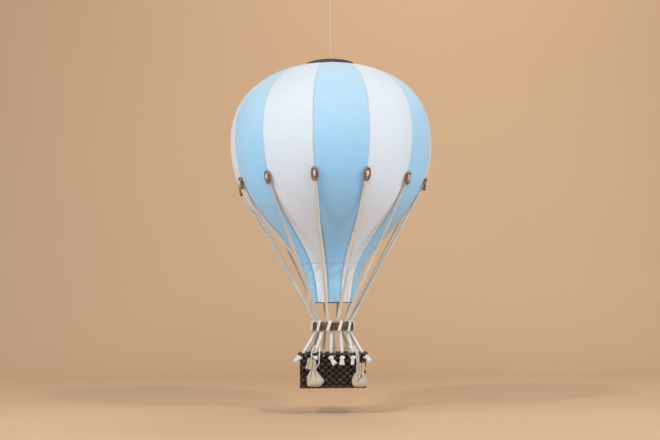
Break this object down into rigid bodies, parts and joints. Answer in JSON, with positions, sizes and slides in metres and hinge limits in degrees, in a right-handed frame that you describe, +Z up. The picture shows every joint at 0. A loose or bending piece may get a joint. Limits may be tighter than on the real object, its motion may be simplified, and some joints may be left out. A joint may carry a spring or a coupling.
{
  "type": "decorative hanging hot air balloon",
  "caption": "Small toy hot air balloon that hangs on a thread: striped fabric envelope, rope stays with toggle rings, load ring, woven basket and sandbags.",
  "frame": {"origin": "inner top of the tied loop of the hanging thread, where a hook bears", "axes": "+Z up along the thread and the envelope's axis, -Y the front with two of the sandbags, +X to the right of the front"},
  "size_m": [0.303, 0.303, 0.6157],
  "materials": {
    "blue_fabric": "pale blue cotton, matt, fine weave",
    "white_fabric": "white cotton, matt, fine weave",
    "cap_leather": "dark brown, satin",
    "thread": "whitish nylon",
    "button_wood": "orange-brown, waxed",
    "cotton_rope": "off-white twisted cotton",
    "cotton_cord": "off-white twisted cotton, thinner than the ropes",
    "ring_wood": "brown, fine grained",
    "wicker": "dark brown woven strips, satin",
    "sacking": "tan cotton cloth, matt"
  },
  "bodies": {
    "hanger": {"hanging_thread": "thread"},
    "balloon": {"gore_blue_1": "blue_fabric", "gore_white_1": "white_fabric", "gore_blue_2": "blue_fabric", "gore_white_2": "white_fabric", "gore_blue_3": "blue_fabric", "gore_white_3": "white_fabric", "gore_blue_4": "blue_fabric", "gore_white_4": "white_fabric", "gore_blue_5": "blue_fabric", "gore_white_5": "white_fabric", "gore_blue_6": "blue_fabric", "gore_white_6": "white_fabric", "crown_cap": "cap_leather", "button_1": "button_wood", "button_2": "button_wood", "button_3": "button_wood", "button_4": "button_wood", "button_5": "button_wood", "button_6": "button_wood", "button_7": "button_wood", "button_8": "button_wood", "button_9": "button_wood", "button_10": "button_wood", "button_11": "button_wood", "button_12": "button_wood", "stay_1": "cotton_rope", "stay_2": "cotton_rope", "stay_3": "cotton_rope", "stay_4": "cotton_rope", "stay_5": "cotton_rope", "stay_6": "cotton_rope", "stay_7": "cotton_rope", "stay_8": "cotton_rope", "stay_9": "cotton_rope", "stay_10": "cotton_rope", "stay_11": "cotton_rope", "stay_12": "cotton_rope", "load_ring": "ring_wood", "basket_body": "wicker", "basket_rim": "wicker"},
    "sandbag_1": {"sandbag_1": "sacking", "bag_cord_1": "cotton_cord"},
    "sandbag_2": {"sandbag_2": "sacking", "bag_cord_2": "cotton_cord"},
    "sandbag_3": {"sandbag_3": "sacking", "bag_cord_3": "cotton_cord"},
    "sandbag_4": {"sandbag_4": "sacking", "bag_cord_4": "cotton_cord"}
  },
  "joints": [
    {"name": "balloon_turn", "type": "hinge", "parent": "hanger", "child": "balloon", "pos_m": [0, 0, -0.127], "axis": [0, 0, 1], "continuous": true},
    {"name": "sandbag_swing_1", "type": "hinge", "parent": "balloon", "child": "sandbag_1", "pos_m": [-0.02224, -0.02327, -0.5535], "axis": [-1, 0, 0], "range_deg": [0, 45]},
    {"name": "sandbag_swing_2", "type": "hinge", "parent": "balloon", "child": "sandbag_2", "pos_m": [0.02674, -0.02132, -0.5535], "axis": [-1, 0, 0], "range_deg": [0, 45]},
    {"name": "sandbag_swing_3", "type": "hinge", "parent": "balloon", "child": "sandbag_3", "pos_m": [0.02224, 0.02327, -0.5535], "axis": [1, 0, 0], "range_deg": [0, 45]},
    {"name": "sandbag_swing_4", "type": "hinge", "parent": "balloon", "child": "sandbag_4", "pos_m": [-0.02674, 0.02132, -0.5535], "axis": [1, 0, 0], "range_deg": [0, 45]}
  ]
}
